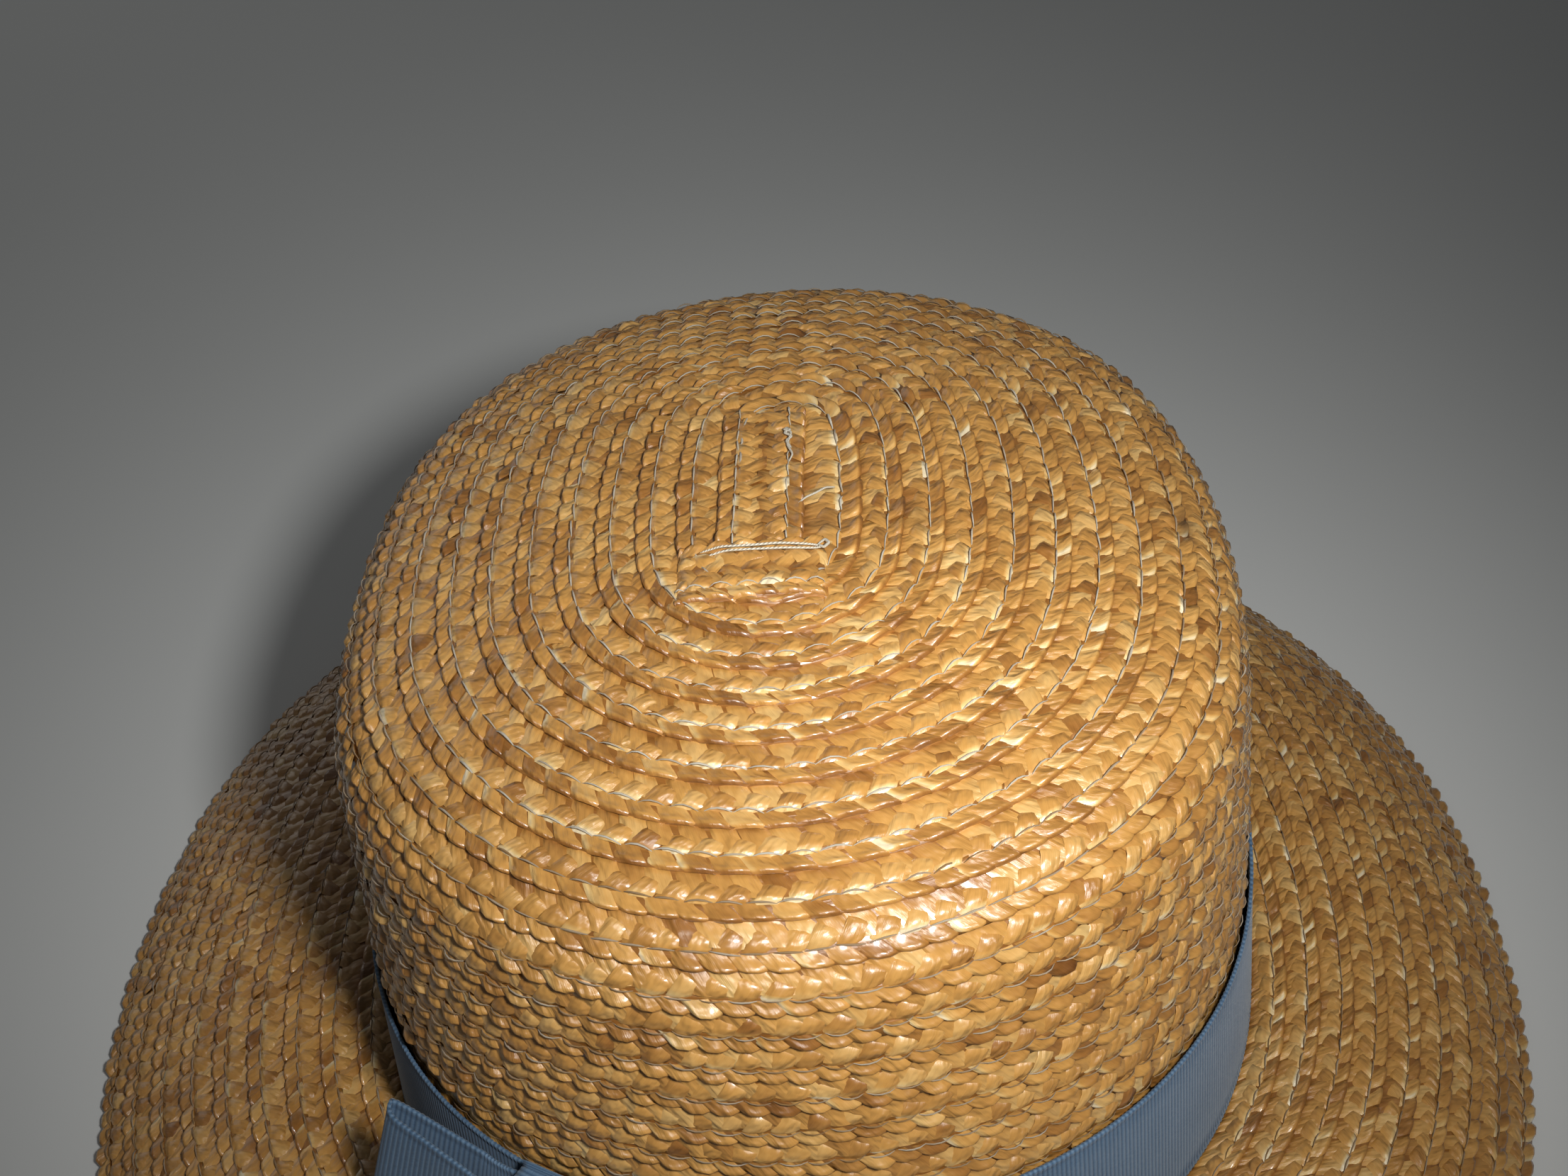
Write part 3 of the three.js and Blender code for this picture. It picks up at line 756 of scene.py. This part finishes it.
def bandPiece():
    look = bandCut
    lines = look["edgeLines"] + look["middleLines"] + [look["height"] - down for down in look["topLines"]]
    a, b, faces = unitPatch(look["ribs"] * 4, len(lines) - 1)
    heights = np.interp(b, np.linspace(0, 1, len(lines)), lines)
    rib = np.cos(2 * math.pi * look["ribs"] * a)
    edge = np.minimum(heights, look["height"] - heights)
    bead = np.where(edge < ribbonCut["beadWide"], look["bead"], 0) - look["dent"] * edgeGroove(edge)
    out = footRadius + (bandInside + look["middle"]) / math.cos(lean) - heights * math.tan(lean)
    x, y = planPoint(2 * math.pi * a, out + look["rib"] * rib + bead)
    places = np.stack([x, y, heights], -1)
    uv = np.stack([a * look["ribs"], heights], -1)
    # painted light and shade: lighter on rib crests, darker in rib hollows and the edge grooves
    tone = 0.5 + 0.5 * rib - 0.5 * edgeGroove(edge)
    parts = [(places[None], faces[:, ::-1], uv[None], tone[None], 0)]
    piece = joinedPiece("ribbon_band", parts, grosgrain)
    thicken(piece)
    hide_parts("band")


def thicken(piece):
    bm = bmesh.new()
    bm.from_mesh(piece.data)
    bmesh.ops.remove_doubles(bm, verts=bm.verts[:], dist=mergeGap)
    bm.to_mesh(piece.data)
    bm.free()
    wall = piece.modifiers.new("wall", "SOLIDIFY")
    wall.thickness, wall.offset = ribbonCut["thick"] / 1000, 0


bandPiece()
print("band wrapped")

bowCut = {
    "angle": 243, "height": 28, "foot": 5.6, "length": 37, "fold": 1.1, "puff": 2.2, "splay": 0.2, "gap": 0.8,
    "rise": 13, "riseFrom": 10, "riseRun": 8, "rib": 0.065, "ribEvery": 1.0, "groove": 0.11, "knot": 15,
    "front": [(0.93, 0.3), (0.75, 0.62), (0.55, 0.92), (0.43, 1), (0.32, 0.5)], "loopColumns": 340,
    "lines": [0, 0.5, 1.2, 1.9, 5, 9, 13, 17, 21, 24, 26.1, 26.8, 27.5, 28],
}
knotCut = {
    "soft": 0.8, "nearTurn": 0.4, "farTurn": 0.6, "bulge": 0.5, "seamAt": 5,
    "fold": 0.22, "foldWide": 7.5, "waist": 0.10, "columns": 280, "rows": 12,
}


def bowToHat(places):  # from along, off and up at the bow's back to the crown's wall
    angle = math.radians(bowCut["angle"])
    radius = footRadius + (bandInside + hat["ribbon"]) / math.cos(lean)
    here = np.array(planPoint(angle, radius))
    back = np.array(planPoint(angle - 0.01, radius)) - here  # the wall's own direction beside the bow
    turn = Matrix.Rotation(math.atan2(back[1], back[0]), 3, "Z") @ Matrix.Rotation(lean, 3, "X")
    return places @ np.array(turn).T + np.array([*here, bowCut["foot"]])


def smoothLine(points, count):  # evenly spaced places on a soft line through the points
    points = np.array(points, float)
    ends = np.vstack([points[0], points, points[-1]])
    t = np.linspace(0, len(points) - 1, 900)
    index = np.clip(t.astype(int), 0, len(points) - 2)
    f = (t - index)[:, None]
    p0, p1, p2, p3 = (ends[index + k] for k in range(4))
    squared, cubed = 2 * p0 - 5 * p1 + 4 * p2 - p3, 3 * p1 - p0 - 3 * p2 + p3
    line = 0.5 * (2 * p1 + (p2 - p0) * f + squared * f ** 2 + cubed * f ** 3)
    run = np.concatenate([[0], np.cumsum(np.linalg.norm(np.diff(line, axis=0), axis=1))])
    even = np.linspace(0, run[-1], count)
    return np.stack([np.interp(even, run, line[:, k]) for k in range(2)], -1), run[-1]


def bowLoop(name, side, node):  # out along the back from inside the knot, round the fold and home in front
    look, gap, thick = bowCut, hat["gap"], hat["ribbon"]
    back = gap + thick + gap + thick / 2
    front, pinched = back + 2 * look["fold"], back + thick + look["gap"]
    points = [(gap / 2, back), (look["length"] / 2, back), (look["length"] - 2 * look["fold"], back)]
    points += [(look["length"] - thick / 2, back + look["fold"])]
    points += [(along * look["length"], front + off * look["puff"]) for along, off in look["front"]]
    points += [(look["knot"] / 2 + thick, pinched), (look["knot"] / 4, pinched), (gap / 2, pinched)]
    columns = look["loopColumns"]
    line, length = smoothLine([(side * x, y) for x, y in points], columns + 1)
    tangent = np.gradient(line, axis=0)
    tangent /= np.linalg.norm(tangent, axis=1)[:, None]
    a, b, faces = unitPatch(columns, len(look["lines"]) - 1)
    at = np.round(a * columns).astype(int)
    height = np.interp(b, np.linspace(0, 1, len(look["lines"])), look["lines"])
    groove = edgeGroove(np.minimum(height, look["height"] - height))
    rib = np.cos(2 * math.pi * a * length / look["ribEvery"])
    off = look["rib"] * rib - look["groove"] * groove * np.sign(0.5 - a)
    x = line[at, 0] - tangent[at, 1] * off
    y = line[at, 1] + tangent[at, 0] * off
    along = np.maximum(side * x - look["knot"] / 2, 0) / (look["length"] - look["knot"] / 2)
    y = y + look["splay"] * along * (look["height"] - height)
    beyond, up = np.maximum(side * x - look["riseFrom"], 0), height - look["height"] / 2
    turn = math.radians(look["rise"]) * np.minimum(beyond / look["riseRun"], 1)
    x = x + side * (beyond * (np.cos(turn) - 1) - up * np.sin(turn))
    up = up * np.cos(turn) + beyond * np.sin(turn)
    places = bowToHat(np.stack([x, y, up + look["height"] / 2], -1))
    uv = np.stack([a * length, height], -1)
    # painted light and shade: lighter on rib crests, darker in rib hollows and the edge grooves
    tone = 0.5 + 0.5 * rib - 0.5 * groove
    faces = faces if side > 0 else faces[:, ::-1]
    piece = joinedPiece(name, [(places[None], faces, uv[None], tone[None], 0)], grosgrain)
    thicken(piece)
    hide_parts(node)


def bowKnot():  # a short ribbon round both loops, its seam behind them
    look, knot, gap, thick = bowCut, knotCut, hat["gap"], hat["ribbon"]
    depth = gap + thick + look["gap"] + thick + gap
    near, far = gap + thick / 2, gap + thick + depth + thick / 2
    low, high = -gap - thick / 2, look["height"] + gap + thick / 2
    soft, nearTurn, farTurn = knot["soft"], near + knot["nearTurn"], far - knot["farTurn"]
    seam = (near, knot["seamAt"])
    points = [seam, (near, high - soft), (nearTurn, high), (farTurn, high), (far, high - soft)]
    points += [(far + knot["bulge"], look["height"] / 2), (far, low + soft), (farTurn, low), (nearTurn, low)]
    points += [(near, low + soft), seam]
    columns = knot["columns"]
    line, length = smoothLine(points, columns + 1)
    a, b, faces = unitPatch(columns, knot["rows"])
    at = np.round(a * columns).astype(int)
    across = (b - 0.5) * look["knot"]
    rib = np.cos(2 * math.pi * np.round(length) * a)
    tangent = np.gradient(line, axis=0)
    tangent /= np.linalg.norm(tangent, axis=1)[:, None]
    outside = np.clip((line[at, 0] - near) / (far - near), 0, 1)
    fold = knot["fold"] * np.cos(2 * math.pi * across / knot["foldWide"]) * outside
    off = look["rib"] * rib + fold
    y = line[at, 0] - tangent[at, 1] * off
    height = line[at, 1] + tangent[at, 0] * off
    waist = 1 - knot["waist"] * outside * np.sin(math.pi * np.clip(height / look["height"], 0, 1))
    places = bowToHat(np.stack([across * waist, y, height], -1))
    uv = np.stack([a * length, across], -1)
    # painted light and shade: lighter on rib crests, darker in rib hollows
    parts = [(places[None], faces, uv[None], 0.5 + 0.5 * rib[None], 0)]
    piece = joinedPiece("bow_middle", parts, grosgrain)
    thicken(piece)
    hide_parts("bow_knot")


bowLoop("bow_loop_left", 1, "bow_left_loop")
bowLoop("bow_loop_right", -1, "bow_right_loop")
bowKnot()
print("bow tied")


stageLook = {
    "floorSize": 4, "floorDark": (0.83, 0.86, 0.86), "floorLight": (0.87, 0.90, 0.90),
    "world": (0.92, 0.92, 0.92), "worldStrength": 0.06,
}
lampColour = (1, 0.98, 0.95)
key = {"size": 0.05, "power": 0.188, "spread": 62, "right": 0.07, "up": 0.03, "aim": (0.02, -0.03, 0.11)}
fill = {"size": 0.8, "power": 0.6, "place": (-0.75, 0.95, 0.6), "aim": (0, 0, 0.05)}


def setStage():
    bm = bmesh.new()
    bmesh.ops.create_grid(bm, x_segments=1, y_segments=1, size=stageLook["floorSize"])
    mesh = bpy.data.meshes.new("floor")
    bm.to_mesh(mesh)
    bm.free()
    floor = bpy.data.objects.new("floor", mesh)
    material, flow, surface = newMaterial("pale floor", {"Roughness": 0.9})
    body = flow.add("ShaderNodeTexCoord", {}, {}, 3)
    cloud = flow.add("ShaderNodeTexNoise", {}, {"Vector": body, "Scale": 6, "Detail": 2})
    shades = cloud.mix((*stageLook["floorDark"], 1), (*stageLook["floorLight"], 1))
    wire(flow, surface, {"Base Color": shades})
    mesh.materials.append(material)
    bpy.context.scene.collection.objects.link(floor)
    world = bpy.data.worlds.new("studio")
    world.use_nodes = True
    backdrop = world.node_tree.nodes["Background"]
    backdrop.inputs[0].default_value = (*stageLook["world"], 1)
    backdrop.inputs[1].default_value = stageLook["worldStrength"]
    bpy.context.scene.world = world
    bpy.context.scene.view_settings.view_transform = "Standard"


setStage()
eye = addCamera()
right, up = eye.matrix_world.col[0].xyz, eye.matrix_world.col[1].xyz
beside = eye.matrix_world.translation + right * key["right"] + up * key["up"]
addLamp("key", beside, key["aim"], key["size"], key["power"], lampColour, key["spread"])
addLamp("fill", fill["place"], fill["aim"], fill["size"], fill["power"], lampColour)
print("stage set")
